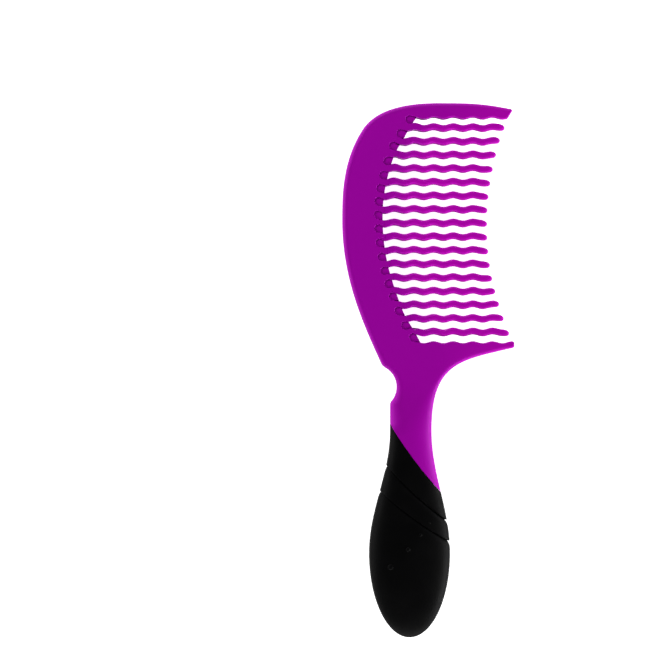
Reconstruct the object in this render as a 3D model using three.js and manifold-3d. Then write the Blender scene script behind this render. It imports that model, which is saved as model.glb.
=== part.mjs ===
// A wide tooth comb: a rigid plastic comb moulding with a soft rubber grip moulded over its core.
// Millimetres, +Z up. The comb lies flat, its handle towards -Y, its head towards +Y and its
// teeth towards +X, with the mid-plane of the moulding level.
import * as THREE from "three";
import { mergeVertices } from "three/addons/utils/BufferGeometryUtils.js";
import Module from "manifold-3d";

// ---- Driving dimensions -------------------------------------------------------------------

// Row of teeth
const toothCount = 16;
const toothPitch = 5.66;
const gapWidth = 2.7;
const topGapTrim = 0.5; // by which the upper end tooth narrows the gap below it
const toothTipWidth = 2.86;
const toothTipThickness = 3.4;
const toothTipTaper = 3.5; // length over which a tip is rounded to its point
const toothEdgeChamfer = 0.7;
const toothRootChamfer = 0.1;
const toothChamferRun = 2; // over which the chamfer grows from the root's to its full size
const stubLength = 0.6; // part of each tooth that belongs to the back
const waveLength = 8.17;
const waveHeight = 0.4; // half of the crest-to-crest height
const waveCrestX = 10.0;
const waveSettling = 6; // length over which the wave dies out towards a tip

// Curve through the roots of the gaps, and curve through the tips of the teeth
const rootApexX = -11.15;
const rootApexRise = 51; // from the lowest gap to where the roots lie deepest
const rootRadiusAbove = 65;
const rootRadiusBelow = 95;
const tipApexX = 32.25;
const tipApexRise = 47.6; // from the lowest gap to the shortest reach of the tips
const tipRadius = 114;

// Relief pocket behind each gap
const pocketRadius = 1.8;
const pocketSetback = 1.85; // from the root of the gap to the centre of the pocket's round end
const pocketDepth = 0.35;
const pocketRise = 0.25; // of the pocket's middle above the gap's
const pocketMouthInset = 0.1; // of the pocket's mouth from each side of the gap

// Outline of the back. A pull is how far a curve holds its direction before it turns.
const backThickness = 5.6;
const backEdgeRadius = 2.0;
const spineX = -28.0; // outermost edge of the back
const spineRise = 49.3; // from the lowest gap to where the back is widest
const spinePullUp = 11.7;
const spinePullDown = 23.6;
const crownX = 12.7; // where the upper edge is highest
const crownRise = 7.34; // from the highest gap to the upper edge
const crownPull = 13;
const shoulderX = -19.6; // between the crown and the spine
const shoulderDrop = 11.2; // below the crown
const shoulderPull = new THREE.Vector2(6, 9.25);
const shoulderPullDown = 1.35; // the pull below the shoulder, as a part of the one above
const endToothX = 41.8; // where both end teeth stop
const lowerToothNose = new THREE.Vector2(1.7, 0.85); // from the flank's end to the tooth's foremost corner
const upperTipDrop = 2.6; // from the crown to the corner of the upper end tooth
const upperTipPull = new THREE.Vector2(-12.1, 2.4); // of the upper edge where it starts at that corner
const upperTipSlant = new THREE.Vector2(-2.2, -4.2); // from that corner down the tooth's end
const lowerToothDepth = 4.0; // from the lowest gap to the lower edge at the tip
const lowerToothLength = 21.6; // the lower end tooth's own part, beyond the flank of the neck
const flankPull = 28.1;
const flankEnd = new THREE.Vector2(21.4, 5.05); // the flank's pull where it meets the lower end tooth

// Handle
const gripLength = 86; // from the butt of the handle to its waist
const gripWidth = 33.7;
const gripThickness = 12.6;
const bellyY = 35; // where the handle is widest
const waistX = 0.55; // middle of the waist
const waistWidth = 17.3;
const waistThickness = 9.2;
const neckLength = 18.1; // from the waist to the middle of the hang notch
const headGap = 38.06; // from the waist to the lowest gap
const notchRadius = 9.1;
const notchBottomX = -5.4;
const notchCorner = new THREE.Vector2(-11.7, 9.5); // its upper corner, above the notch's middle
const notchCornerPull = new THREE.Vector2(-8.3, 18.1); // of the spine where it starts at that corner
const notchCornerRun = 1.2; // from that corner to the notch's arc
const handleSquareness = 2.3; // exponent of the handle's superellipse section
const backSquareness = 4.5; // the same where the neck runs into the back
const widthFullness = 2; // exponent of the butt's outline in plan
const thicknessFullness = 2.6; // the same seen from the side
const neckOverlap = 2.5; // how far the neck's skin runs into the back

// Grip and the core inside it
const skinThickness = 2.2;
const mouldClearance = 0.3;
const innerEndInset = 1.6; // by which the skin is thicker round the core's end
const coreStart = 8; // from the butt of the handle to the end of the core
const coreRise = 10; // from the waist to where the core has become the neck
const windowWidth = 7;
const windowLength = 13;
const windowY = [24, 52];
const grooveWidth = 1.1;
const grooveDepth = 1.0;
const pipCount = 4;
const pipRadius = 1.35;
const pipRise = 0.5;
const pipShrink = 0.8; // each pip's radius, as a part of the one before
const pipStart = new THREE.Vector2(-8.1, 30.0);
const pipStep = 10.5; // from the first pip to the second
const pipStepShrink = 0.74;
const pipHeading = 43.8; // degrees
const pipTurn = 6.5; // degrees from each step to the next
const edgeRise = 2.9; // above the waist, where the grip's edge meets the notch side
const edgeDrop = 25.4; // below the waist, where it meets the teeth side
const edgePullHigh = new THREE.Vector2(3.5, -6.9);
const edgePullLow = new THREE.Vector2(-7, 7);
const edgeOverrun = new THREE.Vector2(-5, 9.5); // carries the edge's line clear of the handle
const grooveDrops = [
  [15.3, 36.5],
  [25.6, 45.5],
]; // below the waist, each groove's left and right end
const grooveBow = 0.9;
const grooveOverrun = new THREE.Vector2(2, 1.5);

// Facets
const stepsPerWave = 4;
const handleSides = 24;
const coreSides = 16;
const curveSteps = 14;
const tipLevels = [0.45, 0.75, 0.93, 0.99]; // rings of a tip, as parts of its taper
const buttLevels = [0.002, 0.03, 0.09, 0.18, 0.3, 0.46, 0.64, 0.84]; // parts of the way to the belly
const bodyRings = 9; // from there to the waist
const neckRings = 3; // from the waist to the foot of the notch
const notchRings = 4; // from there to the notch's middle
const shortSteps = 8; // along the shorter curves
const pipSides = 10;
const halvings = 30; // when a height is looked up on a curve
const cutMargin = 1; // by which a cutting shape runs past what it cuts
const hair = 0.001; // keeps two faces from lying in exactly one plane

// ---- Levels that follow from the dimensions ------------------------------------------------

const neckY = gripLength + neckLength;
const lowestGapY = gripLength + headGap;
const highestGapY = lowestGapY + toothCount * toothPitch;
const rootApexY = lowestGapY + rootApexRise;
const tipApexY = lowestGapY + tipApexRise;
const spineY = lowestGapY + spineRise;
const crownY = highestGapY + crownRise;
const halfBack = backThickness / 2;
const farX = endToothX + 2 * toothPitch;
const waistLeft = waistX - waistWidth / 2;
const waistRight = waistX + waistWidth / 2;

const comb = new THREE.MeshStandardMaterial({ color: 0x920096, roughness: 0.38, metalness: 0 });
const rubber = new THREE.MeshStandardMaterial({ color: 0x0b0b0d, roughness: 0.75, metalness: 0 });

// ---- Solids ---------------------------------------------------------------------------------

const wasm = await Module();
wasm.setup();

const point = (x, y) => new THREE.Vector2(x, y);

// A closed three.js geometry as a solid that can be joined and cut.
function solid(geometry) {
  const bare = geometry.clone();
  bare.deleteAttribute("normal");
  bare.deleteAttribute("uv");
  const merged = mergeVertices(bare, 1e-4);
  return new wasm.Manifold(
    new wasm.Mesh({
      numProp: 3,
      vertProperties: merged.getAttribute("position").array,
      triVerts: new Uint32Array(merged.index.array),
    }),
  );
}

// A solid as a named mesh.
function part(name, shape, material) {
  const { vertProperties, triVerts } = shape.getMesh();
  const geometry = new THREE.BufferGeometry();
  geometry.setAttribute("position", new THREE.BufferAttribute(vertProperties, 3));
  geometry.setIndex(new THREE.BufferAttribute(triVerts, 1));
  const faceted = geometry.toNonIndexed();
  faceted.computeVertexNormals();
  const mesh = new THREE.Mesh(faceted, material);
  mesh.name = name;
  return mesh;
}

// A flat outline made solid between two heights, with its edges rounded if a radius is given.
function slab(outline, bottom, top, edgeRadius = 0) {
  const geometry = new THREE.ExtrudeGeometry(new THREE.Shape(outline), {
    depth: top - bottom - 2 * edgeRadius,
    bevelEnabled: edgeRadius > 0,
    bevelThickness: edgeRadius,
    bevelSize: edgeRadius,
    bevelOffset: -edgeRadius,
    bevelSegments: 3,
    curveSegments: 1,
  });
  geometry.translate(0, 0, bottom + edgeRadius);
  return solid(geometry);
}

// A solid skinned over rings of points that run in the same sense, closed with a fan at each end.
function loft(rings) {
  const sides = rings[0].length;
  const positions = [];
  const triangle = (...corners) => corners.forEach((corner) => positions.push(...corner.toArray()));
  for (let i = 0; i + 1 < rings.length; i++)
    for (let j = 0; j < sides; j++) {
      const k = (j + 1) % sides;
      triangle(rings[i][j], rings[i][k], rings[i + 1][k]);
      triangle(rings[i][j], rings[i + 1][k], rings[i + 1][j]);
    }
  const last = rings.length - 1;
  for (let j = 1; j + 1 < sides; j++) {
    triangle(rings[0][0], rings[0][j + 1], rings[0][j]);
    triangle(rings[last][0], rings[last][j], rings[last][j + 1]);
  }
  const geometry = new THREE.BufferGeometry();
  geometry.setAttribute("position", new THREE.Float32BufferAttribute(positions, 3));
  const made = solid(geometry);
  if (made.volume() < 0) throw new Error("a lofted piece is inside out");
  return made;
}

// Points along a cubic curve from its start to its end, both included.
function bezier(start, controlA, controlB, end, steps = curveSteps) {
  return new THREE.CubicBezierCurve(start, controlA, controlB, end).getPoints(steps);
}

// Points of an arc about a centre, from one angle to another in radians.
function arc(centre, radius, from, to, steps) {
  return Array.from({ length: steps + 1 }, (_, i) => {
    const angle = from + ((to - from) * i) / steps;
    return point(centre.x + radius * Math.cos(angle), centre.y + radius * Math.sin(angle));
  });
}

// ---- Curves of the comb ----------------------------------------------------------------------

// How far the wave that all teeth share lifts them at x.
const wave = (x) => waveHeight * Math.cos((2 * Math.PI * (x - waveCrestX)) / waveLength);
const onWave = (x, y) => point(x, y + wave(x));

// Points along a wavy line at height y, between two values of x.
function wavyLine(y, fromX, toX) {
  const steps = Math.ceil((Math.abs(toX - fromX) * stepsPerWave) / waveLength);
  return Array.from({ length: steps + 1 }, (_, i) => onWave(fromX + ((toX - fromX) * i) / steps, y));
}

// The bow of an arc that is tangent to the Y direction at its apex.
const bow = (radius, away) => radius - Math.sqrt(radius * radius - away * away);
const rootX = (y) => rootApexX + bow(y > rootApexY ? rootRadiusAbove : rootRadiusBelow, y - rootApexY);
const tipX = (y) => tipApexX + bow(tipRadius, y - tipApexY);

const gapY = (gap) => highestGapY - (gap - 1) * toothPitch;
const gapLow = (gap) => gapY(gap) - gapWidth / 2;
const gapHigh = (gap) => gapY(gap) + gapWidth / 2 - (gap === 1 ? topGapTrim : 0);
const toothY = (tooth) => (gapY(tooth) + gapY(tooth + 1)) / 2;
const toothWidth = toothPitch - gapWidth;

// Plane on which a tooth leaves the back: just clear of the gap roots on both sides of it.
const cutX = (tooth) =>
  Math.max(rootX(toothY(tooth) + toothWidth / 2), rootX(toothY(tooth) - toothWidth / 2)) + stubLength;

// Right flank of the neck, which sweeps out into the lower edge of the lower end tooth.
const flankTip = point(endToothX, lowestGapY - lowerToothDepth);
const flank = new THREE.CubicBezierCurve(
  point(waistRight, gripLength),
  point(waistRight, gripLength + flankPull),
  flankTip.clone().sub(flankEnd),
  flankTip,
);
const notchCentre = point(notchBottomX - notchRadius, neckY);

// Left edge of the neck: straight up from the waist, then round the hang notch.
function neckLeftX(y) {
  const inNotch = notchRadius ** 2 - (y - notchCentre.y) ** 2;
  const notchX = inNotch > 0 ? notchCentre.x + Math.sqrt(inNotch) : -Infinity;
  return Math.max(waistLeft, notchX);
}

// ---- Back and end teeth ----------------------------------------------------------------------

// Whole flat outline of the head, the teeth's field included.
function headOutline() {
  const overlapY = neckY - notchCornerRun - backEdgeRadius;
  const lowerTip = flankTip.clone().add(lowerToothNose);
  const upperTip = point(endToothX + 1, crownY - upperTipDrop);
  const shoulder = point(shoulderX, crownY - shoulderDrop);
  const spine = point(spineX, spineY);
  const backCorner = point(notchCorner.x, neckY + notchCorner.y);
  const down = (from, distance) => point(from.x, from.y - distance);
  const crown = point(crownX, crownY);
  const across = (from, distance) => point(from.x + distance, from.y);
  const belowShoulder = shoulder.clone().addScaledVector(shoulderPull, -shoulderPullDown);
  const besideTip = upperTip.clone().add(upperTipPull);
  const upperEdge = bezier(upperTip, besideTip, across(crown, crownPull), crown, shortSteps);
  const corner = [
    ...bezier(crown, across(crown, -crownPull), shoulder.clone().add(shoulderPull), shoulder, shortSteps),
    ...bezier(shoulder, belowShoulder, down(spine, -spinePullUp), spine, shortSteps).slice(1),
  ];
  const abovePoint = backCorner.clone().add(notchCornerPull);
  const lowerSpine = bezier(spine, down(spine, spinePullDown), abovePoint, backCorner, shortSteps);
  const notchTop = Math.acos((backCorner.x - notchCentre.x + notchCornerRun) / notchRadius);
  return [
    point(neckLeftX(neckY) + backEdgeRadius, overlapY),
    point(waistRight, overlapY),
    ...flank.getPoints(2 * curveSteps).filter((p) => p.y > neckY),
    lowerTip,
    upperTip.clone().add(upperTipSlant),
    ...upperEdge.slice(0, -1),
    ...corner.slice(0, -1),
    ...lowerSpine,
    ...arc(notchCentre, notchRadius, notchTop, 0, shortSteps),
  ];
}

// Everything between the two end teeth: the gaps, and the teeth down to their stubs.
function toothField() {
  const outline = wavyLine(gapHigh(1), farX, rootX(gapHigh(1)));
  for (let gap = 1; gap <= toothCount + 1; gap++) {
    const low = gapLow(gap);
    if (gap > 1) outline.push(onWave(rootX(gapHigh(gap)), gapHigh(gap)));
    outline.push(onWave(rootX(low), low));
    if (gap > toothCount) continue;
    outline.push(onWave(cutX(gap), low), onWave(cutX(gap), low - toothWidth));
  }
  const lowest = gapLow(toothCount + 1);
  outline.push(...wavyLine(lowest, rootX(lowest), farX).slice(1));
  return slab(outline, -backThickness, backThickness);
}

// A relief pocket runs from its round end into the gap, on the line of the teeth's wave.
function pocketOutline(gap) {
  const y = gapY(gap);
  const slope = rootX(y + 0.5) - rootX(y - 0.5);
  const centre = onWave(rootX(y) - pocketSetback * Math.hypot(1, slope), y + pocketRise);
  const mouth = (side) => onWave(rootX(side) + pocketMouthInset, side);
  return [
    ...arc(centre, pocketRadius, Math.PI / 2, 1.5 * Math.PI, shortSteps),
    mouth(gapLow(gap) + pocketMouthInset),
    mouth(gapHigh(gap) - pocketMouthInset),
  ];
}

function pockets() {
  const floor = halfBack - pocketDepth;
  const cuts = [];
  for (let gap = 1; gap <= toothCount + 1; gap++) {
    const outline = pocketOutline(gap);
    cuts.push(slab(outline, floor, backThickness), slab(outline, -backThickness, -floor));
  }
  return wasm.Manifold.union(cuts);
}

// An end tooth thins from the back's thickness at its root to a tooth's at its tip.
function endToothTaper(fromX) {
  const taperEnd = endToothX + lowerToothNose.x + cutMargin;
  const side = [
    point(fromX - hair, halfBack),
    point(fromX - hair, -halfBack),
    point(taperEnd, -toothTipThickness / 2),
    point(taperEnd, toothTipThickness / 2),
  ];
  const length = crownY + cutMargin - gripLength;
  const geometry = new THREE.ExtrudeGeometry(new THREE.Shape(side), { depth: length, bevelEnabled: false });
  geometry.rotateX(Math.PI / 2);
  geometry.translate(0, crownY + cutMargin, 0);
  return solid(geometry);
}

const box = (x0, x1, y0, y1) =>
  slab([point(x0, y0), point(x1, y0), point(x1, y1), point(x0, y1)], -backThickness, backThickness);

const head = slab(headOutline(), -halfBack, halfBack, backEdgeRadius).subtract(toothField());
const upperCutX = rootX(gapHigh(1)) + stubLength;
const lowerCutX = endToothX - lowerToothLength;
const upperRegion = box(upperCutX, farX, highestGapY, crownY + cutMargin);
const lowerRegion = box(lowerCutX, farX, gripLength, lowestGapY);

// ---- Teeth -------------------------------------------------------------------------------------

// The x whose wave a tooth follows at x: it falls behind near the tip, which ends nearly straight.
function settled(x, toX) {
  const into = Math.max(0, x - (toX - waveSettling)) / waveSettling;
  return x - (waveSettling * into ** 2) / 2;
}

// Half-width and half-thickness of a tooth at x, worn down to a rounded point at its tip.
function toothSize(x, fromX, toX) {
  const along = (x - fromX) / (toX - fromX);
  const intoTip = Math.max(0, (x - (toX - toothTipTaper)) / toothTipTaper);
  const round = Math.sqrt(1 - intoTip ** 2);
  const halfWidth = THREE.MathUtils.lerp(toothWidth, toothTipWidth, along) / 2;
  const halfThickness = THREE.MathUtils.lerp(backThickness, toothTipThickness, along) / 2;
  return [halfWidth * round, halfThickness * Math.sqrt(round)];
}

// Eight-sided section of a tooth: a rectangle with its long edges broken.
function toothRing(x, y, halfWidth, halfThickness, chamfer) {
  const c = Math.min(chamfer, 0.6 * halfWidth);
  const w = halfWidth;
  const t = halfThickness;
  const corners = [
    [w, t - c],
    [w - c, t],
    [c - w, t],
    [-w, t - c],
    [-w, c - t],
    [c - w, -t],
    [w - c, -t],
    [w, c - t],
  ];
  return corners.map(([across, up]) => new THREE.Vector3(x, y + across, up));
}

function tooth(number) {
  const y = toothY(number);
  const fromX = cutX(number);
  const toX = tipX(y);
  const bodySteps = Math.round(((toX - toothTipTaper - fromX) * stepsPerWave) / waveLength);
  const bodyLength = toX - toothTipTaper - fromX;
  const stations = Array.from({ length: bodySteps + 1 }, (_, i) => fromX + (bodyLength * i) / bodySteps);
  for (const share of tipLevels) stations.push(toX - toothTipTaper * (1 - share));
  const rings = stations.map((x) => {
    const fullChamfer = Math.min(1, (x - fromX) / toothChamferRun);
    const chamfer = THREE.MathUtils.lerp(toothRootChamfer, toothEdgeChamfer, fullChamfer);
    return toothRing(x, y + wave(settled(x, toX)), ...toothSize(x, fromX, toX), chamfer);
  });
  return loft(rings);
}

// ---- Handle --------------------------------------------------------------------------------------

// A half-size that swells from the butt to the belly and eases down to the waist.
function handleHalf(y, belly, waist, fullness) {
  if (y < bellyY) return belly * Math.sqrt(1 - ((bellyY - y) / bellyY) ** fullness);
  const down = Math.min(1, (y - bellyY) / (gripLength - bellyY));
  return waist + ((belly - waist) * (1 + Math.cos(Math.PI * down))) / 2;
}

// The flank's x at a height, found by halving, since the curve only ever climbs.
function flankX(y) {
  let low = 0;
  let high = 1;
  for (let i = 0; i < halvings; i++) {
    const middle = (low + high) / 2;
    if (flank.getPoint(middle).y < y) low = middle;
    else high = middle;
  }
  return flank.getPoint(low).x;
}

// Centre, half-width, half-thickness and squareness of the handle's section at y.
function handleSection(y) {
  const halfThickness = handleHalf(y, gripThickness / 2, waistThickness / 2, thicknessFullness);
  const halfWidth = handleHalf(y, gripWidth / 2, waistWidth / 2, widthFullness);
  const x = waistX * THREE.MathUtils.smoothstep(y, bellyY, gripLength);
  if (y <= gripLength) return { x, halfWidth, halfThickness, square: handleSquareness };
  const rise = (y - gripLength) / neckLength;
  const left = neckLeftX(y);
  const right = flankX(y);
  return {
    x: (left + right) / 2,
    halfWidth: (right - left) / 2,
    halfThickness: THREE.MathUtils.lerp(halfThickness, halfBack, THREE.MathUtils.smoothstep(rise, 0, 1)),
    square: THREE.MathUtils.lerp(handleSquareness, backSquareness, rise),
  };
}

// A superellipse ring of the handle's section at y, drawn in by an inset.
function handleRing(y, sides, inset = 0, shownAt = y) {
  const { x, halfWidth, halfThickness, square } = handleSection(y);
  const bend = (value) => Math.sign(value) * Math.abs(value) ** (2 / square);
  return Array.from({ length: sides }, (_, i) => {
    const angle = (-2 * Math.PI * (i + 0.5)) / sides;
    const across = (halfWidth - inset) * bend(Math.cos(angle));
    return new THREE.Vector3(x + across, shownAt, (halfThickness - inset) * bend(Math.sin(angle)));
  });
}

function evenly(from, to, steps) {
  return Array.from({ length: steps + 1 }, (_, i) => from + ((to - from) * i) / steps);
}

// Outside of the whole handle and neck, running a little way into the back.
function handleSolid() {
  const notchFoot = neckY - Math.sqrt(notchRadius ** 2 - (waistLeft - notchCentre.x) ** 2);
  const levels = [
    ...buttLevels.map((share) => share * bellyY),
    ...evenly(buttLevels.at(-1) * bellyY, gripLength, bodyRings).slice(1),
    ...evenly(gripLength, notchFoot, neckRings).slice(1),
    ...evenly(notchFoot, neckY, notchRings).slice(1),
  ];
  const rings = levels.map((y) => handleRing(y, handleSides));
  rings.push(handleRing(neckY, handleSides, toothEdgeChamfer, neckY + neckOverlap));
  return loft(rings);
}

// The handle's shape drawn in by an inset, from near the butt to the top of the core.
function innerSolid(start, end, inset) {
  const rings = evenly(start + inset, end, bodyRings).map((y) => handleRing(y, coreSides, inset));
  rings.unshift(handleRing(start + inset, coreSides, innerEndInset * inset, start));
  return loft(rings);
}

// The handle's right and left edge in plan, between the butt and the waist.
function handleEdge(y, side) {
  const { x, halfWidth } = handleSection(y);
  return point(x + side * halfWidth, y);
}

// The slanted line where the grip ends, from the hang-notch side down to the teeth side.
const edgeHigh = point(waistLeft, gripLength + edgeRise);
const edgeLow = handleEdge(gripLength - edgeDrop, 1);
const belowHigh = edgeHigh.clone().add(edgePullHigh);
const aboveLow = edgeLow.clone().add(edgePullLow);
const gripEdge = [
  edgeHigh.clone().add(edgeOverrun),
  ...bezier(edgeHigh, belowHigh, aboveLow, edgeLow, shortSteps),
  edgeLow.clone().sub(edgePullLow),
];

// A line moved off its own slant by a distance, up and to the right.
const moved = (line, distance) => line.map((p) => p.clone().addScalar(distance * Math.SQRT1_2));

// Everything on the head's side of the grip's edge, moved up by a clearance.
function aboveGripEdge(clearance) {
  const outline = moved(gripEdge, clearance);
  const top = neckY + notchRadius;
  outline.push(point(2 * gripWidth, outline.at(-1).y), point(2 * gripWidth, top), point(outline[0].x, top));
  return slab(outline, -gripThickness, gripThickness);
}

// A groove runs over both faces from edge to edge: a band in plan, cut down to the groove's floor.
function groove(leftDrop, rightDrop) {
  const left = handleEdge(gripLength - leftDrop, -1).add(point(-grooveOverrun.x, grooveOverrun.y));
  const right = handleEdge(gripLength - rightDrop, 1).add(point(grooveOverrun.x, -grooveOverrun.y));
  const along = (share) => left.clone().lerp(right, share).addScalar(-grooveBow);
  const lower = bezier(left, along(1 / 3), along(2 / 3), right, shortSteps);
  return slab([...lower, ...moved(lower, grooveWidth).reverse()], -gripThickness, gripThickness);
}

// A window through the core, and the plug of rubber that fills it.
function windowOutline(y, clearance) {
  const radius = windowWidth / 2 - clearance;
  const reach = (windowLength - windowWidth) / 2;
  return [
    ...arc(point(0, y + reach), radius, 0, Math.PI, shortSteps),
    ...arc(point(0, y - reach), radius, Math.PI, 2 * Math.PI, shortSteps),
  ];
}

// Height of the handle's face at a point in plan.
function faceHeight(x, y) {
  const { halfWidth, halfThickness, square } = handleSection(y);
  return halfThickness * (1 - Math.abs(x / halfWidth) ** square) ** (1 / square);
}

// Round pips in a gentle arc, each smaller and closer than the one before, on both faces.
function pips() {
  const made = [];
  const centre = pipStart.clone();
  let radius = pipRadius;
  let step = pipStep;
  let heading = THREE.MathUtils.degToRad(pipHeading);
  for (let i = 0; i < pipCount; i++) {
    for (const side of [1, -1]) {
      const ball = new THREE.SphereGeometry(radius, pipSides, pipSides);
      const sink = radius - pipRise;
      ball.rotateX(Math.PI / 2);
      ball.translate(centre.x, centre.y, side * (faceHeight(centre.x, centre.y) - sink));
      made.push(solid(ball));
    }
    centre.add(point(step * Math.cos(heading), step * Math.sin(heading)));
    radius *= pipShrink;
    step *= pipStepShrink;
    heading += THREE.MathUtils.degToRad(pipTurn);
  }
  return wasm.Manifold.union(made);
}

const handle = handleSolid();
const coreEnd = gripLength + coreRise;
const windows = wasm.Manifold.union(
  windowY.map((y) => slab(windowOutline(y, 0), -gripThickness, gripThickness)),
);
const core = innerSolid(coreStart, coreEnd, skinThickness).subtract(windows);
const cavity = innerSolid(coreStart - mouldClearance, coreEnd, skinThickness - mouldClearance);
const grooves = wasm.Manifold.union(grooveDrops.map(([left, right]) => groove(left, right)));
const grooveFloor = innerSolid(coreStart / 2, gripLength, grooveDepth);
const plugs = wasm.Manifold.union(
  windowY.map((y) => slab(windowOutline(y, mouldClearance), -gripThickness, gripThickness)),
);

const grip = handle
  .add(pips())
  .subtract(aboveGripEdge(0))
  .subtract(cavity)
  .subtract(grooves.subtract(grooveFloor))
  .add(plugs.intersect(grooveFloor));

const back = head
  .subtract(upperRegion)
  .subtract(lowerRegion)
  .subtract(pockets())
  .add(handle.intersect(aboveGripEdge(mouldClearance)))
  .add(core);

// ---- The comb --------------------------------------------------------------------------------------

const group = new THREE.Group();
group.add(part("comb_back", back, comb));
group.add(part("end_tooth_upper", head.intersect(upperRegion).intersect(endToothTaper(upperCutX)), comb));
for (let number = 1; number <= toothCount; number++) {
  group.add(part(`tooth_${String(number).padStart(2, "0")}`, tooth(number), comb));
}
group.add(part("end_tooth_lower", head.intersect(lowerRegion).intersect(endToothTaper(lowerCutX)), comb));
group.add(part("grip", grip, rubber));

// The part's origin is the middle of its footprint, on the surface that it lies on.
const bounds = new THREE.Box3().setFromObject(group);
const middle = bounds.getCenter(new THREE.Vector3());
group.position.set(-middle.x, -middle.y, -bounds.min.z);

export default group;
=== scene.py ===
import math

import bmesh
import bpy
import numpy as np
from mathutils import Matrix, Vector
from mathutils.geometry import delaunay_2d_cdt


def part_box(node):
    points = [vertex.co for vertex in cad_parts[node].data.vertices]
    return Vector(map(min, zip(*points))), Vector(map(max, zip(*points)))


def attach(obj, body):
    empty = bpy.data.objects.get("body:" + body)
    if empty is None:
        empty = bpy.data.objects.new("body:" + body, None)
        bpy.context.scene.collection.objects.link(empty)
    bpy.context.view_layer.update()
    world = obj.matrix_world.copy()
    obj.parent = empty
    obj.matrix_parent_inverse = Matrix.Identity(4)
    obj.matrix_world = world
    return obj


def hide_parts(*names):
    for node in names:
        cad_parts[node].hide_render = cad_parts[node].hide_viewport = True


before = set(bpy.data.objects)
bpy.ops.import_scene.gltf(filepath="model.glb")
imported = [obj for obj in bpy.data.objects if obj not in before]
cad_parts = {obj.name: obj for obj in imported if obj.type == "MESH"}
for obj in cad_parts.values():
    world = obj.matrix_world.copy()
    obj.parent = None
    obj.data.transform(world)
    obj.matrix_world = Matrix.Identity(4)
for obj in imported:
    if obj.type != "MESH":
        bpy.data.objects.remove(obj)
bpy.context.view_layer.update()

# ---- Comb moulding: back, end teeth, neck and core -------------------------------------------
# One shot of rigid purple plastic. The back is a flat plate with a rounded rim, and it swells
# into the oval neck that carries the grip. A shallow pocket is moulded behind each gap.

# Sizes are in millimetres from the butt of the handle, on its axis and mid-plane.
grip_low, grip_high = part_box("grip")
zero = Vector(((grip_low.x + grip_high.x) / 2, grip_low.y, (grip_low.z + grip_high.z) / 2))
belly_y = 35
waist_y = 86.0
notch_y = 104.1
edge_low_y = 60.6  # where the grip ends on the side of the teeth
tooth_count = 16
pitch = 5.66
gap_width = 2.7
top_trim = 0.5  # by which the upper end tooth narrows the gap below it
tooth_width = pitch - gap_width
lowest_gap = 124.06
highest_gap = lowest_gap + tooth_count * pitch
back_half = 2.8  # half the thickness of the back, and of a tooth at its tip
tip_half = 1.7
rim = 2.2  # radius of the back's edge, and of the edges round the gaps
crisp = 0.15
squareness = 2.4  # exponent of every rounded section, where 2 is an ellipse
stub = 0.6  # the part of each tooth that is moulded with the back
corner_inset = 0.08  # of a pocket's mouth from the sides of its gap
plan_step = 0.7
wave = dict(length=8.17, height=0.4, crest=10.0)
root = dict(apex=(-11.15, 175.06), above=65.0, below=95.0)
tip = dict(apex=(32.25, 171.66), radius=114.0)
pocket = dict(radius=1.8, setback=1.85, floor=2.45, rise=0.25, bevel=0.1)


def place(points):
    """Points in millimetres, put in the frame of the whole comb in metres."""
    return np.asarray(points, float) * 0.001 + np.array(zero)


def bezier(start, pull_a, pull_b, end, gap=plan_step):
    """Points about a gap apart on a cubic curve, its end left out."""
    ends = np.array([start, pull_a, pull_b, end], float)
    steps = max(2, round(np.linalg.norm(ends[1:] - ends[:-1], axis=1).sum() / gap))
    t = np.linspace(0, 1, steps, endpoint=False)[:, None]
    return (
        (1 - t) ** 3 * ends[0]
        + 3 * (1 - t) ** 2 * t * ends[1]
        + 3 * (1 - t) * t * t * ends[2]
        + t**3 * ends[3]
    )


def arc(centre, radius, start, end, steps):
    """Points on an arc from one angle in degrees to another, both ends kept."""
    angle = np.radians(np.linspace(start, end, steps + 1))
    return np.stack([centre[0] + radius * np.cos(angle), centre[1] + radius * np.sin(angle)], 1)


def smooth(value, low, high):
    """Eases from 0 at low to 1 at high."""
    share = np.clip((value - low) / (high - low), 0, 1)
    return share * share * (3 - 2 * share)


def lift(x):
    """How far the wave that all teeth share raises them at x."""
    return wave["height"] * np.cos(2 * np.pi * (x - wave["crest"]) / wave["length"])


def bow(y, apex, radius):
    """The x at y of an arc that bulges towards smaller x, with its furthest point at the apex."""
    return apex[0] + radius - np.sqrt(radius**2 - (y - apex[1]) ** 2)


def root_x(y):
    """Where the gaps end, along the two arcs of the back's inner edge."""
    return bow(y, root["apex"], root["above"] if y > root["apex"][1] else root["below"])


def gap_sides(gap):
    """The lower and upper side of a gap, counted from the top. The first is a little narrower."""
    middle = highest_gap - gap * pitch
    return middle - gap_width / 2, middle + gap_width / 2 - (0 if gap else top_trim)


def stub_x(y):
    """Where a tooth leaves the back."""
    return max(root_x(y + tooth_width / 2), root_x(y - tooth_width / 2)) + stub


def handle_half(y, belly, waist, fullness):
    """A half-size that swells from the butt to the belly and eases down to the waist."""
    butt = belly * np.sqrt(np.clip(1 - np.clip((belly_y - y) / belly_y, 0, 1) ** fullness, 0, 1))
    down = np.clip((y - belly_y) / (waist_y - belly_y), 0, 1)
    return np.where(y < belly_y, butt, waist + (belly - waist) * (1 + np.cos(np.pi * down)) / 2)


def half_width(y):
    """Half the width of handle and neck."""
    return handle_half(y, 16.85, 8.65, 2.0)


def half_thick(y):
    """Half the thickness of handle and neck, down to that of the back."""
    full = handle_half(y, 6.3, 4.6, 2.6)
    return full + (back_half - full) * smooth(y, waist_y, notch_y)


def axis_x(y):
    """The middle of the handle, which is a little off the axis from the waist up."""
    return 0.55 * smooth(y, belly_y, waist_y)


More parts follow.
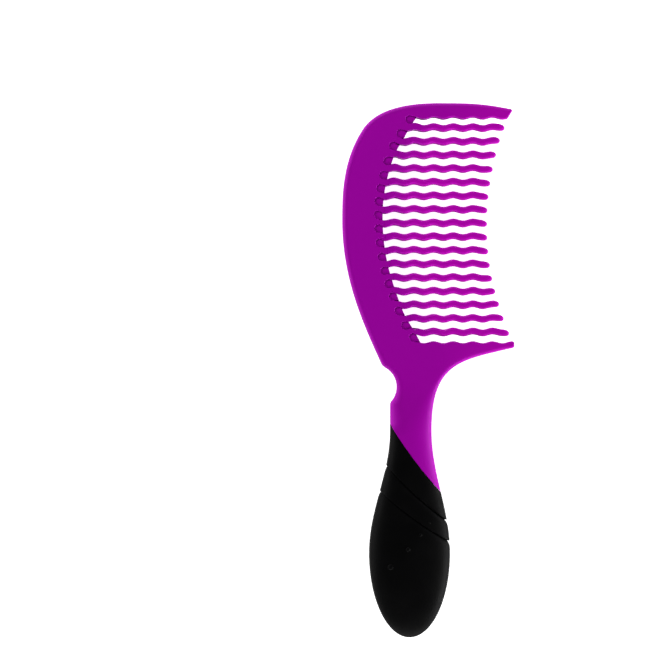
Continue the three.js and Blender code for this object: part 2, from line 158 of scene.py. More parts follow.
def rim_at(points):
    """How far in the rounding of the edge reaches: the whole half-width at the neck."""
    y = points[:, 1]
    return rim + (half_width(y) - rim) * (1 - smooth(y, waist_y, 108))


# The slanted line where the grip ends, from the notch side down to the teeth side.
edge_end = (axis_x(edge_low_y) + half_width(edge_low_y), edge_low_y)
edge_line = bezier((-8.1, 88.9), (-4.6, 82.0), (5.8, 67.6), edge_end, 0.5)

outline = []
rims = []


def run(points, radius):
    """Adds a stretch of the outline, with the radius that its edge is rounded to."""
    points = np.asarray(points, float)
    outline.extend(points)
    rims.extend(np.broadcast_to(radius, len(points)))


def run_wavy(y, x):
    """Adds the wavy edge of an end tooth, crisp at its root and rounder towards its tip."""
    run(np.stack([x, y + lift(x)], 1), crisp + 0.6 * smooth(x, 6, 12))


def run_blunt(lower_arc, lower_radius, upper_arc, upper_radius, steps):
    """Adds the blunt end of an end tooth: two small arcs and the straight stretch between."""
    run(lower_arc, lower_radius)
    run(np.linspace(lower_arc[-1], upper_arc[0], steps + 1)[1:-1], 0.7)
    run(upper_arc, upper_radius)


side_y = np.arange(edge_low_y, waist_y, plan_step)
side = np.stack([axis_x(side_y) + half_width(side_y), side_y], 1)
run(side, rim_at(side))
flank = bezier((9.2, waist_y), (9.2, 114.1), (20.8, 115.05), (42.2, 120.1))
run(flank, rim_at(flank) - 0.7 * smooth(flank[:, 0], 25, 42))
lower_end = arc((42.45, 121.25), 1.15, -78, 0, 6)
run_blunt(lower_end, 1.0, arc((43.2, 122.45), 0.35, 10, 80, 3), 0.5, 4)

# The gap side, from the lower end tooth's wavy edge past every gap and stub to the upper one's.
lower_y, _ = gap_sides(tooth_count)
run_wavy(lower_y, np.arange(42.8, root_x(lower_y) + 0.2, -0.34))
for gap in range(tooth_count, -1, -1):
    web_low, web_high = gap_sides(gap)
    corners = np.linspace(web_low + corner_inset, web_high - corner_inset, 7)
    web_y = np.array([web_low, *corners, web_high])
    web_x = np.array([root_x(y) for y in web_y])
    run(np.stack([web_x, web_y + lift(web_x)], 1), crisp)
    if gap > 0:
        leave = stub_x(web_high + tooth_width / 2)
        ends = np.linspace(web_high, web_high + tooth_width, 9) + lift(leave)
        run([(leave - 0.06, ends[0])], crisp)
        run(np.stack([np.full(9, leave), ends], 1), 0.02)
        run([(leave - 0.06, ends[-1])], crisp)
_, upper_y = gap_sides(0)
run_wavy(upper_y, np.arange(root_x(upper_y) + 0.3, 39.7, 0.34))
upper_end = arc((40.1, upper_y + 0.75), 0.95, -88, -28, 5)
run_blunt(upper_end, 0.7, arc((41.85, 218.75), 0.8, -22, 72, 6), 0.7, 7)

# Over the top, down the spine and round the hang notch to the grip's edge.
run(bezier((42.0, 219.55), (30.7, 221.8), (25.8, 222), (12.7, 222))[1:], rim)
run(bezier((12.7, 222), (-0.3, 222), (-13.6, 220.05), (-19.6, 210.8)), rim)
run(bezier((-19.6, 210.8), (-27.6, 198.3), (-28, 185.1), (-28, 173.4)), rim)
spine = bezier((-28, 173.4), (-28, 149.8), (-20.0, 131.7), (-11.6, 113.45))
run(spine, rim_at(spine))
corner = np.array([(-11.4, 113.1), (-11.1, 112.85), (-10.7, 112.5)])
run(corner, rim_at(corner))
notch = arc((-14.5, notch_y), 9.1, 62, -42, 26)
run(notch, rim_at(notch))
foot = arc((-7.6, 96.9), 0.5, 150, 180, 2)
run(foot, rim_at(foot))
side_y = np.arange(96.2, 88.9, -plan_step)
side = np.stack([np.full(len(side_y), -8.1), side_y], 1)
run(side, rim_at(side))
run(edge_line, crisp)
outline = np.array(outline)
rims = np.array(rims)


def depths(points, wanted=0.0):
    """How far in points lie as a share of the edge's rounding, and what they clear a depth by."""
    a, b = outline, np.roll(outline, -1, 0)
    ab = b - a
    long = np.maximum((ab**2).sum(1), 1e-12)
    reach_b = np.roll(rims, -1)
    wanted = np.broadcast_to(wanted, len(points))[:, None]
    shares, spare = np.empty(len(points)), np.empty(len(points))
    at_once = 400
    for i in range(0, len(points), at_once):
        batch = slice(i, i + at_once)
        p = points[batch, None, :]
        t = np.clip(((p - a) * ab).sum(2) / long, 0, 1)
        away = np.sqrt(((p - a - t[..., None] * ab) ** 2).sum(2))
        reach = rims + t * (reach_b - rims)
        shares[batch] = (away / reach).min(1)
        spare[batch] = (away - 0.97 * np.minimum(wanted[batch], reach)).min(1)
    return shares, spare


def inside(points, ring):
    """Which points lie inside a closed ring."""
    a, b = ring, np.roll(ring, -1, 0)
    x, y = points[:, :1], points[:, 1:2]
    across = (a[:, 1] > y) != (b[:, 1] > y)
    with np.errstate(divide="ignore", invalid="ignore"):
        at = a[:, 0] + (y - a[:, 1]) * (b[:, 0] - a[:, 0]) / (b[:, 1] - a[:, 1])
    return (across & (x < at)).sum(1) % 2 == 1


def face_half(points):
    """Half the thickness in the middle of the moulding: flat back, fat neck, and end teeth
    that thin towards their tips."""
    x, y = points[:, 0], points[:, 1]
    half = np.where(y < notch_y, half_thick(y), back_half)
    upper = np.clip((x - 4.9) / 38.9, 0, 1) * (y > highest_gap)
    lower = np.clip((x - 14) / 29.8, 0, 1) ** 1.4 * (y < lowest_gap) * (y > 110)
    return half - (back_half - tip_half) * (upper + lower)


def rounded(shares):
    """Height of the rounded edge, from nothing on the outline to the full face."""
    rest = 1 - np.clip(shares, 0, 1)
    return (1 - rest**squareness) ** (1 / squareness)


# Rows of points stepped in from the outline, closer together where the edge turns fastest, and
# then points all over the flat of the back.
following = np.roll(outline, -1, 0) - np.roll(outline, 1, 0)
inward = np.stack([-following[:, 1], following[:, 0]], 1)
inward /= np.linalg.norm(inward, axis=1)[:, None]
rows = []
just_past = 1.12
for step in range(1, 11):
    share = just_past if step == 10 else 1 - math.cos(math.radians(10 * step)) ** (2 / squareness)
    chosen = (rims > 0.3) | (step in (4, 9))
    row = (outline + inward * (rims * share)[:, None])[chosen]
    wanted = (rims * min(share, 1))[chosen]
    rows.append(row[inside(row, outline) & (depths(row, wanted)[1] > 0)])
grid_x, grid_y = np.meshgrid(np.arange(-27, 43, 2.4), np.arange(106, 222, 2.4))
grid = np.stack([grid_x, grid_y], 2).reshape(-1, 2)
grid = grid[inside(grid, outline)]
rows.append(grid[depths(grid)[0] > 1.3])

# Each pocket is a half-round whose two sides run on to the corners of its gap.
pocket_steps = 20
pocket_arcs = []
pocket_mouths = []
for gap in range(tooth_count + 1):
    gap_y = highest_gap - gap * pitch
    slope = root_x(gap_y + 0.5) - root_x(gap_y - 0.5)
    centre_x = root_x(gap_y) - pocket["setback"] * math.hypot(1, slope)
    centre = (centre_x, gap_y + pocket["rise"] + lift(centre_x))
    pocket_arcs.append(arc(centre, pocket["radius"], 90, 270, pocket_steps))
    web_low, web_high = gap_sides(gap)
    mouth_y = np.array([web_low + corner_inset, web_high - corner_inset])
    mouth_x = np.array([root_x(y) for y in mouth_y])
    pocket_mouths.append(np.stack([mouth_x, mouth_y + lift(mouth_x)], 1))

# The plate is cut into triangles in plan, with every pocket's wall as a line of its own, and a
# little way out from it the line where the face starts to turn down into the pocket.
plan = [outline]
links = [(i, (i + 1) % len(outline)) for i in range(len(outline))]
count = len(outline)
on_rim = set()
for half_round, mouth in zip(pocket_arcs, pocket_mouths):
    middle = (half_round[0] + half_round[-1]) / 2
    lip = arc(middle, pocket["radius"] + pocket["bevel"], 90, 270, pocket_steps)
    plan += [half_round, mouth, lip]
    on_rim.update(range(count, count + len(half_round)))
    last = count + len(half_round) + 1
    links += [(i, i + 1) for i in range(count, last - 1)] + [(count, last)]
    links += [(i, i + 1) for i in range(last + 1, last + len(lip))]
    count = last + 1 + len(lip)
plan = np.vstack(plan + rows)
flat, _, triangles, origin, _, _ = delaunay_2d_cdt(
    [Vector(p) for p in plan], links, [list(range(len(outline)))], 1, 1e-5
)
flat = np.array([tuple(p) for p in flat])
triangles = np.array(triangles)
shares = depths(flat)[0]
shares[[any(s < len(outline) for s in sources) for sources in origin]] = 0
face = face_half(flat) * rounded(shares)
face -= pocket["bevel"] * np.array([any(s in on_rim for s in sources) for sources in origin])
floor = pocket["floor"] * rounded(shares)
middles = flat[triangles].mean(1)
sunk = np.zeros(len(triangles), bool)
for half_round, mouth in zip(pocket_arcs, pocket_mouths):
    ring = np.vstack([half_round, mouth[:1], mouth + (1, 0), mouth[1:]])
    near = np.abs(middles - half_round.mean(0)).max(1) < 8
    sunk[near] |= inside(middles[near], ring)

shell_points = []
shell_faces = []
numbers = {}


def corner_of(index, is_sunk, side):
    """The mesh point above or below a plan point, on the face or on a pocket's floor."""
    height = (floor if is_sunk else face)[index]
    key = (index, False, 0) if height < 1e-9 else (index, is_sunk, side)
    if key not in numbers:
        numbers[key] = len(shell_points)
        shell_points.append((*flat[index], side * height))
    return numbers[key]


# Both faces get every triangle, and a wall stands wherever face and pocket floor meet.
edge_uses = {}
for triangle, is_sunk in zip(triangles.tolist(), sunk.tolist()):
    for side in (1, -1):
        shell_faces.append([corner_of(i, is_sunk, side) for i in triangle][::side])
    for a, b in zip(triangle, triangle[1:] + triangle[:1]):
        edge_uses.setdefault((min(a, b), max(a, b)), []).append((is_sunk, a, b))
for uses in edge_uses.values():
    if len(uses) == 2 and uses[0][0] != uses[1][0]:
        _, a, b = min(uses)
        for side in (1, -1):
            wall = [corner_of(b, False, side), corner_of(a, False, side)]
            wall += [corner_of(a, True, side), corner_of(b, True, side)]
            wall = list(dict.fromkeys(wall))
            if len(wall) > 2:
                shell_faces.append(wall[::side])


def bend(value):
    """Sine or cosine of a turn, for a section squarer than an ellipse."""
    return np.sign(value) * np.abs(value) ** (2 / squareness)


def section(y, sides, inset=0.0):
    """A ring round the handle at y, drawn in by an inset."""
    turn = 2 * np.pi * np.arange(sides) / sides
    x = axis_x(y) + (half_width(y) - inset) * bend(np.cos(turn))
    return np.stack([x, np.full(sides, y), (half_thick(y) - inset) * bend(np.sin(turn))], 1)


# The core that the grip is moulded over runs down inside it, almost to the butt.
core_sides = 32
under_skin = 2.3
core_levels = [(y, under_skin) for y in (96, *range(90, 10, -6), 10.5)] + [(8.6, 3.4)]
core_rows = [section(y, core_sides, inset) for y, inset in core_levels]
start = len(shell_points)
shell_points.extend(np.vstack(core_rows).tolist())
last = len(shell_points) - core_sides
for row in range(start, last, core_sides):
    for i in range(core_sides):
        j = (i + 1) % core_sides
        shell_faces.append([row + i, row + j, row + core_sides + j, row + core_sides + i])
shell_faces.append([start + i for i in reversed(range(core_sides))])
shell_faces.append([last + i for i in range(core_sides)])


def piece_of(name, mesh, sharp=38):
    """A closed mesh as a piece: its faces turned outwards, smooth but for its real edges."""
    work = bmesh.new()
    work.from_mesh(mesh)
    bmesh.ops.remove_doubles(work, verts=work.verts, dist=1e-7)
    bmesh.ops.recalc_face_normals(work, faces=work.faces)
    work.to_mesh(mesh)
    work.free()
    mesh.name = name
    mesh.shade_smooth()
    mesh.set_sharp_from_angle(angle=math.radians(sharp))
    piece = bpy.data.objects.new(name, mesh)
    bpy.context.scene.collection.objects.link(piece)
    return piece


def solid(name, points, faces, sharp=38):
    """A piece made of points in millimetres."""
    mesh = bpy.data.meshes.new(name)
    mesh.from_pydata(place(points).tolist(), [], faces)
    return piece_of(name, mesh, sharp)


moulding = solid("comb_moulding", shell_points, shell_faces)


class Wire:
    """One socket of a node tree. Sums on wires add Math nodes, so a formula reads as on paper."""

    def __init__(self, tree, socket=None):
        self.tree = tree
        self.socket = socket

    def node(self, kind, settings=None, inputs=None, output=0):
        """Any node: its settings first, then the values or wires of its sockets."""
        new_node = self.tree.nodes.new(kind)
        for name, value in (settings or {}).items():
            setattr(new_node, name, value)
        for key, value in (inputs or {}).items():
            if isinstance(value, Wire):
                self.tree.links.new(value.socket, new_node.inputs[key])
            else:
                new_node.inputs[key].default_value = value
        return Wire(self.tree, new_node.outputs[output] if new_node.outputs else None)

    def math(self, operation, *values):
        return self.node("ShaderNodeMath", {"operation": operation}, dict(enumerate(values)))

    def __add__(self, other):
        return self.math("ADD", self, other)

    def __sub__(self, other):
        return self.math("SUBTRACT", self, other)

    def __rsub__(self, other):
        return self.math("SUBTRACT", other, self)

    def __mul__(self, other):
        return self.math("MULTIPLY", self, other)

    def __truediv__(self, other):
        return self.math("DIVIDE", self, other)

    def __rtruediv__(self, other):
        return self.math("DIVIDE", other, self)

    def __pow__(self, other):
        return self.math("POWER", self, other)

    def __rpow__(self, other):
        return self.math("POWER", other, self)

    def __gt__(self, other):
        return self.math("GREATER_THAN", self, other)

    __radd__ = __add__
    __rmul__ = __mul__

    def ease(self, low, high):
        """Eases from 0 where the value is low to 1 where it is high."""
        return self.node(
            "ShaderNodeMapRange",
            {"interpolation_type": "SMOOTHSTEP"},
            {"Value": self, "From Min": low, "From Max": high},
        )

    def part(self, axis):
        """One of the three numbers of a place, by its axis."""
        return self.node("ShaderNodeSeparateXYZ", None, {0: self}, axis)

    def noise(self, scale, detail):
        """An even random pattern over the places on this wire."""
        sizes = {"Vector": self, "Scale": scale, "Detail": detail}
        return self.node("ShaderNodeTexNoise", None, sizes)

    def blend(self, colour_a, colour_b):
        """From the first colour, where the value is 0, to the second, where it is 1."""
        colours = {"Factor": self, "A": (*colour_a, 1), "B": (*colour_b, 1)}
        return self.node("ShaderNodeMix", {"data_type": "RGBA"}, colours, output=2)

    def relief(self, strength, distance):
        """The normals of a surface that the value, as a height, roughens."""
        sizes = {"Strength": strength, "Distance": distance, "Height": self}
        return self.node("ShaderNodeBump", None, sizes)


def set_sockets(material, **values):
    """Gives sockets of the material's Principled shader their values or wires."""
    shader = material.node_tree.nodes["Principled BSDF"]
    for name, value in values.items():
        socket = shader.inputs[name.replace("_", " ")]
        if isinstance(value, Wire):
            material.node_tree.links.new(value.socket, socket)
        else:
            socket.default_value = value


def new_material(name, **constants):
    """A material with the sockets that are the same all over, and the places on its piece."""
    material = bpy.data.materials.new(name)
    material.use_nodes = True
    set_sockets(material, **constants)
    return material, Wire(material.node_tree).node("ShaderNodeTexCoord", output="Object")


plastic, where = new_material("satin_purple_plastic", IOR=1.46, Specular_IOR_Level=0.06)
# A layer of painted through-light: the base colour is lighter where the teeth and end teeth are
# thin, for light that shines through them.
thin = where.node("ShaderNodeAttribute", {"attribute_name": "thin"}, output="Fac")
flow = where.noise(60.0, 3.0)
grain = where.noise(2600.0, 2.0)
speck = where.noise(420.0, 4.0)
off_middle = where.part("Z") - zero.z
part_line = 1 - off_middle.math("ABSOLUTE", off_middle).ease(0.00002, 0.00012)
# Base colour: the painted through-light on the thin teeth, with faint flow marks over it.
set_sockets(
    plastic,
    Base_Color=(thin * 0.9 + (flow - 0.5) * 0.16).blend((0.30, 0.0, 0.315), (0.40, 0.0, 0.375)),
    Roughness=0.5 + (speck - 0.5) * 0.12,
    Normal=(grain + part_line * 1.5).relief(0.35, 0.00004),
)

# Painted through-light: the end teeth's base colour is made lighter more and more towards their
# tips, standing in for the light that shines through them.
painted_through_light_layer = moulding.data.attributes.new("thin", "FLOAT", "POINT")
mesh_points = np.empty(len(moulding.data.vertices) * 3)
moulding.data.vertices.foreach_get("co", mesh_points)
x, y, _ = ((mesh_points.reshape(-1, 3) - np.array(zero)) * 1000).T
on_end_tooth = (y > highest_gap) | (y < lowest_gap) & (y > 112)
painted_through_light_layer.data.foreach_set("value", 0.8 * smooth(x, 8, 44) * on_end_tooth)
moulding.data.materials.append(plastic)
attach(moulding, "root")
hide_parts("comb_back", "end_tooth_upper", "end_tooth_lower")

# ---- Teeth ---------------------------------------------------------------------------------
# Sixteen wavy teeth of the same shot of plastic. Each starts flush with the back, thins towards
# a rounded point, and takes its length from the arcs through the roots and the tips.

socket_kinds = {
    int: "Int",
    float: "Float",
    tuple: "Vector",
    bpy.types.Material: "Material",
    bpy.types.Object: "Object",
}


def new_tree(name, inputs):
    """A tree with an input for each name: its tools, and a wire from each of the inputs."""
    tree = bpy.data.node_groups.new(name, "GeometryNodeTree")
    tree.is_modifier = True
    tree.interface.new_socket("Geometry", in_out="OUTPUT", socket_type="NodeSocketGeometry")
    for label, value in inputs.items():
        kind = "NodeSocket" + socket_kinds[type(value)]
        tree.interface.new_socket(label, in_out="INPUT", socket_type=kind)
    given_node = tree.nodes.new("NodeGroupInput")
    return Wire(tree), {socket.name: Wire(tree, socket) for socket in given_node.outputs}


def grow(name, tree, inputs):
    """Runs a tree with its inputs and turns what it makes into a piece with a plain mesh."""
    base = bpy.data.objects.new(name, bpy.data.meshes.new(name))
    bpy.context.scene.collection.objects.link(base)
    modifier = base.modifiers.new(name, "NODES")
    modifier.node_group = tree
    for socket in tree.interface.items_tree:
        if socket.in_out == "INPUT":
            modifier[socket.identifier] = inputs[socket.name]
    bpy.context.view_layer.update()
    graph = bpy.context.evaluated_depsgraph_get()
    mesh = bpy.data.meshes.new_from_object(base.evaluated_get(graph))
    base.modifiers.clear()
    bpy.data.objects.remove(base)
    return piece_of(name, mesh)


teeth_inputs = {
    "Count": tooth_count,
    "Rows": 150,
    "Sides": 29,
    "Pitch": pitch,
    "Top Gap Y": highest_gap,
    "Width": tooth_width,
    "Root Half Thickness": back_half - 0.01,
    "Tip Half Thickness": tip_half,
    "Wave Length": wave["length"],
    "Wave Height": wave["height"],
    "Wave Crest X": wave["crest"],
    "Settling": 6.0,
    "Root Apex X": root["apex"][0],
    "Root Apex Y": root["apex"][1],
    "Root Radius Above": root["above"],
    "Root Radius Below": root["below"],
    "Stub": stub - 0.3,
    "Tip Apex X": tip["apex"][0],
    "Tip Apex Y": tip["apex"][1],
    "Tip Radius": tip["radius"],
    "Point Length": 2.6,
    "Point Radius": 1.12,
    "Zero": tuple(zero),
    "Material": plastic,
}
tool, given = new_tree("wavy_teeth", teeth_inputs)

# A skin of rows and sides for each tooth, laid out flat at first.
spots = tool.node("GeometryNodePoints", None, {"Count": given["Count"]})
number = tool.node("GeometryNodeInputIndex")
spots = tool.node(
    "GeometryNodeStoreNamedAttribute",
    {"data_type": "FLOAT", "domain": "POINT"},
    {"Geometry": spots, "Name": "tooth", "Value": number},
)
sheet_parts = {"Vertices X": given["Rows"], "Vertices Y": given["Sides"]}
sheet = tool.node("GeometryNodeMeshGrid", None, {"Size X": 1.0, "Size Y": 1.0, **sheet_parts})
skins = tool.node("GeometryNodeInstanceOnPoints", None, {"Points": spots, "Instance": sheet})
skins = tool.node("GeometryNodeRealizeInstances", None, {"Geometry": skins})

spot = tool.node("GeometryNodeInputPosition")
along = spot.part("X") + 0.5
around = (tool.math("FRACT", spot.part("Y") + 0.5) + 0.5 / (given["Sides"] - 1)) * (2 * math.pi)
which = tool.node("GeometryNodeInputNamedAttribute", {"data_type": "FLOAT"}, {"Name": "tooth"})
tooth_y = given["Top Gap Y"] - (which + 0.5) * given["Pitch"]


def bow_of(y, apex_x, apex_y, radius):
    """The same arc as bow, on wires."""
    away = y - apex_y
    return apex_x + radius - (radius * radius - away * away) ** 0.5


def root_of(y):
    """Where the gaps end, on wires."""
    above, below = given["Root Radius Above"], given["Root Radius Below"]
    radius = below + (y > given["Root Apex Y"]) * (above - below)
    return bow_of(y, given["Root Apex X"], given["Root Apex Y"], radius)


half_w = given["Width"] * 0.5
deepest = tool.math("MAXIMUM", root_of(tooth_y + half_w), root_of(tooth_y - half_w))
from_x = deepest + given["Stub"]
to_x = bow_of(tooth_y, given["Tip Apex X"], given["Tip Apex Y"], given["Tip Radius"])
length = to_x - from_x

# Rows: the first closes the root, most follow the body, and the last few turn over the point.
body_part = 0.86
body_share = tool.math("MINIMUM", along / body_part, 1.0)
cap_turn = tool.math("MAXIMUM", (along - body_part) / (1 - body_part), 0.0) * (math.pi / 2)
point_r = given["Point Radius"]
x_at = from_x + (length - point_r) * body_share + point_r * tool.math("SINE", cap_turn)
close = tool.math("COSINE", cap_turn) * (along > 0.0005)
worn = (x_at - (to_x - given["Point Length"])).ease(0.0, given["Point Length"])
root_ease = (x_at - from_x).ease(0.2, 4.0)
half_across = (half_w + (point_r - half_w) * worn) * close
root_half, tip_half_up = given["Root Half Thickness"], given["Tip Half Thickness"]
half_up = root_half + (tip_half_up - root_half) * body_share
half_up = (half_up + (point_r * 1.15 - half_up) * worn) * close

# Sides: nearly a rectangle where the tooth leaves the back, and rounder from there on.
power = 2 / (14 - 11.2 * root_ease)
cosine, sine = tool.math("COSINE", around), tool.math("SINE", around)
across = tool.math("SIGN", cosine) * tool.math("ABSOLUTE", cosine) ** power * half_across
up = tool.math("SIGN", sine) * tool.math("ABSOLUTE", sine) ** power * half_up

# The wave, which dies out over the last stretch, and a slight droop of the point.
settling = tool.math("MAXIMUM", (x_at - to_x) / given["Settling"] + 1, 0.0)
wave_x = x_at - given["Settling"] * settling * settling * 0.5
wave_turn = (wave_x - given["Wave Crest X"]) / given["Wave Length"] * (2 * math.pi)
waved = given["Wave Height"] * tool.math("COSINE", wave_turn)
droop = (half_w - point_r) * worn * -0.5
y_at = tooth_y + waved + droop + across
in_mm = tool.node("ShaderNodeCombineXYZ", None, {0: x_at, 1: y_at, 2: up})
to_metres = {0: in_mm, 1: (0.001, 0.001, 0.001), 2: given["Zero"]}
in_metres = tool.node("ShaderNodeVectorMath", {"operation": "MULTIPLY_ADD"}, to_metres)
# Painted through-light: each tooth's colour is made lighter over its first 14 mm from where it
# leaves the back, for light that shines through it.
skins = tool.node(
    "GeometryNodeStoreNamedAttribute",
    {"data_type": "FLOAT", "domain": "POINT"},
    {"Geometry": skins, "Name": "thin", "Value": (x_at - from_x).ease(0.0, 14.0)},
)
skins = tool.node("GeometryNodeSetPosition", None, {"Geometry": skins, "Position": in_metres})
skins = tool.node("GeometryNodeMergeByDistance", None, {"Geometry": skins, "Distance": 1e-7})
skins = tool.node("GeometryNodeRealizeInstances", None, {"Geometry": skins})
coated = {"Geometry": skins, "Material": given["Material"]}
skins = tool.node("GeometryNodeSetMaterial", None, coated)
tool.node("NodeGroupOutput", None, {0: skins})

teeth = grow("comb_teeth", tool.tree, teeth_inputs)
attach(teeth, "root")
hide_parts(*[f"tooth_{n:02d}" for n in range(1, tooth_count + 1)])

# ---- Grip ----------------------------------------------------------------------------------
# A second shot of soft black rubber moulded over the core, flush with the purple neck along a
# slanted edge. Two slanted grooves step its surface like scales, for the fingers.

around_sides = 112
turn = 2 * np.pi * np.arange(around_sides) / around_sides
u, v = bend(np.cos(turn)), bend(np.sin(turn))


def height_on(line):
    """The y at which each line round the handle crosses a slanted line drawn in plan."""
    run_on = 80  # by how many of its end stretches the line is carried on past the handle
    before = line[0] + run_on * (line[0] - line[1])
    beyond = line[-1] + run_on * (line[-1] - line[-2])
    line = np.vstack([before, line, beyond])
    y = np.full(around_sides, 70.0)
    for _ in range(60):
        x = axis_x(y) + u * half_width(y)
        y = (y + np.interp(x, line[:, 0], line[:, 1])) / 2
    return y


def groove_line(left, right, sag=0.9):
    """A groove's line in plan, which hangs a little between its two ends."""
    left, right = np.array(left), np.array(right)
    a, b = left + (right - left) / 3 - sag, left + (right - left) * 2 / 3 - sag
    return np.vstack([bezier(left, a, b, right, 0.5), [right]])


edge_y = height_on(np.vstack([edge_line, [edge_end]])) - 0.03
groove_high = height_on(groove_line((-10.4, 72.3), (16.4, 48.3)))
groove_low = height_on(groove_line((-13.4, 61.9), (17.9, 39.5)))
# How far above its line and how deep each row of a groove lies: a long slope down to the floor,
# then the steep upper lip, which hangs over a little.
groove_reach = 3.2
lip_reach = 0.9
slope_rows = [(-groove_reach, 0.0), (-2.6, 0.02), (-2.0, 0.09), (-1.4, 0.22), (-0.9, 0.4)]
floor_rows = [(-0.45, 0.63), (-0.12, 0.86), (0.06, 0.95), (0.16, 0.82), (0.12, 0.55)]
lip_rows = [(0.02, 0.28), (0.0, 0.14), (0.1, 0.04), (0.35, 0.0), (lip_reach, 0.0)]
groove_rows = slope_rows + floor_rows + lip_rows
groove_depth = 0.8 + 0.2 * smooth(u, -0.6, 0.9)
# The same for the grip's edge, which turns in over the core and ends against the neck.
wall = 1.95
edge_reach = 0.5
edge_rows = [(-edge_reach, 0.0), (-0.2, 0.01), (-0.07, 0.05), (-0.01, 0.14)]
edge_rows += [(0.0, 0.4), (0.0, 1.0), (0.0, wall)]
skin_rows = []


def skin_row(y, inset):
    """One row of the skin, at its own y for each line round the handle."""
    inset = np.broadcast_to(inset, around_sides)
    x = axis_x(y) + np.maximum(half_width(y) - inset, 0) * u
    skin_rows.append(np.stack([x, y, np.maximum(half_thick(y) - inset, 0) * v], 1))


def rows_between(low, high, steps, inset=0.0):
    """Even rows from one height to another, both left out."""
    for k in range(1, steps):
        skin_row(low + (high - low) * k / steps, inset)


butt_rows = 30
for k in range(1, butt_rows):
    skin_row((groove_low - groove_reach) * (k / butt_rows) ** 2, 0.0)
next_rows = (groove_high - groove_reach, edge_y - edge_reach)
for line_y, next_y in zip((groove_low, groove_high), next_rows):
    for offset, deep in groove_rows:
        skin_row(line_y + offset, deep * groove_depth)
    rows_between(line_y + lip_reach, next_y, 9)
for offset, deep in edge_rows:
    skin_row(edge_y + offset, deep)
rows_between(edge_y, np.full(around_sides, 12.0), 14, wall)
skin_row(np.full(around_sides, 10.0), wall)
skin_row(np.full(around_sides, 8.2), 3.0)

skin_points = np.vstack([[(0.0, 0.0, 0.0)], *skin_rows, [(0.0, 7.8, 0.0)]])
skin_faces = []
for i in range(around_sides):
    j = (i + 1) % around_sides
    skin_faces.append([0, 1 + j, 1 + i])
    for r in range(len(skin_rows) - 1):
        a, b = 1 + r * around_sides, 1 + (r + 1) * around_sides
        skin_faces.append([a + i, a + j, b + j, b + i])
    last = 1 + (len(skin_rows) - 1) * around_sides
    skin_faces.append([last + i, last + j, len(skin_points) - 1])
grip = solid("grip_skin", skin_points, skin_faces, 50)

rubber, where = new_material("black_grip_rubber", IOR=1.5, Specular_IOR_Level=0.04)
patch = where.noise(90.0, 4.0)
set_sockets(
    rubber,
    Base_Color=patch.blend((0.0008, 0.0008, 0.0009), (0.0016, 0.0016, 0.0017)),
    Roughness=0.52 + (patch - 0.5) * 0.2,
    Normal=where.noise(3200.0, 3.0).relief(0.5, 0.00005),
)
grip.data.materials.append(rubber)
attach(grip, "root")
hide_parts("grip")

# ---- Pips ----------------------------------------------------------------------------------
# Four low round pips in a gentle arc on each face of the grip, moulded with its skin, each one
# smaller and closer to the last.

pips_inputs = {
    "Skin": grip,
    "Count": 4,
    "Radius": 0.00135,
    "Rise": 0.00035,
    "Shrink": 0.8,
    "Closing": 0.77,
    "Start": tuple(place((-8.1, 30.0, 0))),
    "Middle": tuple(place((0.7, 38.2, 0))),
    "End": tuple(place((8.0, 48.1, 0))),
    "Material": rubber,
}
tool, given = new_tree("arc_of_pips", pips_inputs)

# Their places on the arc, each step shorter than the one before, and their shrinking sizes.
number = tool.node("GeometryNodeInputIndex")
ends = {"Start": given["Start"], "Middle": given["Middle"], "End": given["End"], "Resolution": 32}
sweep = tool.node("GeometryNodeCurveQuadraticBezier", None, ends)
share = (1 - given["Closing"] ** number) / (1 - given["Closing"] ** (given["Count"] - 1))
spot = tool.node(
    "GeometryNodeSampleCurve", {"mode": "FACTOR"}, {"Curves": sweep, "Factor": share}, "Position"
)
size = given["Radius"] * given["Shrink"] ** number
tall = given["Rise"] * 2 * given["Shrink"] ** (number * 0.5)
flattened = tool.node("ShaderNodeCombineXYZ", None, {0: size, 1: size, 2: tall})

# On each face a flattened ball is let half into the skin, square to it.
ball = tool.node("GeometryNodeMeshUVSphere", None, {"Segments": 32, "Rings": 20, "Radius": 1.0})
in_place = {"transform_space": "RELATIVE"}
skin = tool.node("GeometryNodeObjectInfo", in_place, {"Object": given["Skin"]}, "Geometry")
join = tool.node("GeometryNodeJoinGeometry")
for way in (-1.0, 1.0):
    spots = tool.node("GeometryNodePoints", None, {"Count": given["Count"], "Position": spot})
    clear = {0: spot, 1: (0, 0, -0.05 * way)}
    far = tool.node("ShaderNodeVectorMath", {"operation": "ADD"}, clear)
    ray = {"Target Geometry": skin, "Source Position": far, "Ray Direction": (0, 0, way)}
    on_skin = tool.node("GeometryNodeRaycast", None, {**ray, "Ray Length": 0.1}, "Hit Position")
    upright = Wire(tool.tree, on_skin.socket.node.outputs["Hit Normal"])
    turned = tool.node("FunctionNodeAlignRotationToVector", {"axis": "Z"}, {"Vector": upright})
    lower = {0: upright, "Scale": given["Rise"] * -1.0}
    down = tool.node("ShaderNodeVectorMath", {"operation": "SCALE"}, lower)
    seat = tool.node("ShaderNodeVectorMath", {"operation": "ADD"}, {0: on_skin, 1: down})
    spots = tool.node("GeometryNodeSetPosition", None, {"Geometry": spots, "Position": seat})
    pip = {"Points": spots, "Instance": ball, "Rotation": turned, "Scale": flattened}
    placed = tool.node("GeometryNodeInstanceOnPoints", None, pip)
    tool.tree.links.new(placed.socket, join.socket.node.inputs[0])
pips = tool.node("GeometryNodeRealizeInstances", None, {"Geometry": join})
coated = {"Geometry": pips, "Material": given["Material"]}
pips = tool.node("GeometryNodeSetMaterial", None, coated)
tool.node("NodeGroupOutput", None, {0: pips})
pips = grow("grip_pips", tool.tree, pips_inputs)
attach(pips, "root")
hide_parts("grip")

# ---- Table top, light and camera -------------------------------------------------------------
# A plain white surface that glows a little, as a light table does, under low soft lights.

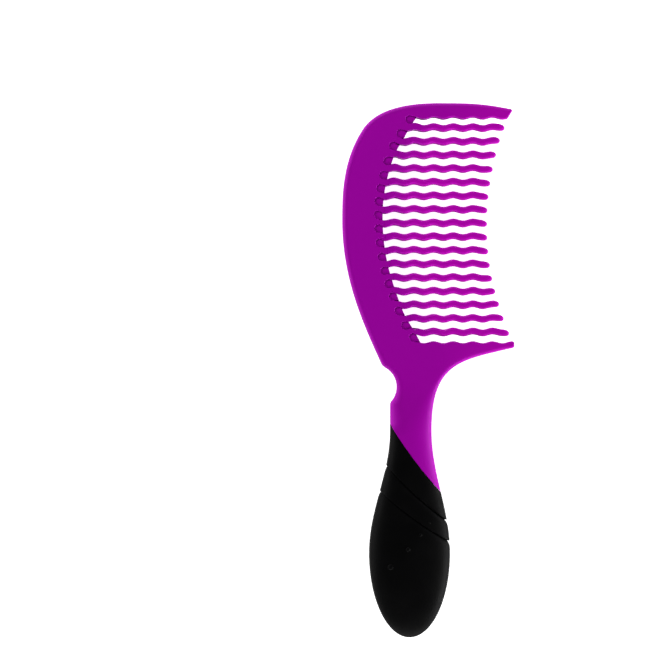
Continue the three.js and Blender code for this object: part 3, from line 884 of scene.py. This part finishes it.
table_mesh = bpy.data.meshes.new("table_top")
reach = 9.0
table_corners = [(-reach, -reach, 0), (reach, -reach, 0), (reach, reach, 0), (-reach, reach, 0)]
table_mesh.from_pydata(table_corners, [], [(0, 1, 2, 3)])
table_top = bpy.data.objects.new("table_top", table_mesh)
bpy.context.scene.collection.objects.link(table_top)
white, _ = new_material(
    "white_table",
    Base_Color=(0.86, 0.86, 0.86, 1),
    Roughness=0.9,
    Specular_IOR_Level=0.1,
    Emission_Color=(1, 1, 1, 1),
    Emission_Strength=0.9,
)
table_mesh.materials.append(white)


def soft_light(name, at, watts, width, height):
    """A square soft light that faces the comb."""
    lamp = bpy.data.lights.new(name, "AREA")
    lamp.shape = "RECTANGLE"
    lamp.size, lamp.size_y, lamp.energy = width, height, watts
    holder = bpy.data.objects.new(name, lamp)
    holder.location = at
    holder.visible_camera = False
    holder.rotation_mode = "QUATERNION"
    holder.rotation_quaternion = (-Vector(at)).to_track_quat("-Z", "Y")
    bpy.context.scene.collection.objects.link(holder)


soft_light("light_handle_end", (0.0, -1.1, 0.25), 13, 1.4, 0.3)
soft_light("light_back", (-1.1, 0.2, 0.35), 11, 1.2, 0.3)
soft_light("light_teeth", (1.1, -0.3, 0.2), 24, 1.2, 0.3)
soft_light("light_head_end", (-0.3, 1.1, 0.45), 13, 1.2, 0.3)

world = bpy.data.worlds.new("studio")
world.use_nodes = True
bpy.context.scene.world = world
upness = Wire(world.node_tree).node("ShaderNodeTexCoord", output="Generated").part("Z")
glow = 0.05 + 0.55 * (1 - upness.math("MAXIMUM", upness, 0.0)) ** 2.0
world.node_tree.links.new(glow.socket, world.node_tree.nodes["Background"].inputs["Strength"])

camera_height = 0.70
view_half = 0.13506  # half of what the camera sees across, at the comb's mid-plane
camera_data = bpy.data.cameras.new("camera")
camera_data.sensor_width = 36
camera_data.lens = camera_data.sensor_width / 2 * camera_height / view_half
camera = bpy.data.objects.new("camera", camera_data)
camera.location = zero + Vector((-0.0351, 0.1298, camera_height))
bpy.context.scene.collection.objects.link(camera)
bpy.context.scene.camera = camera
bpy.context.scene.view_settings.view_transform = "Standard"
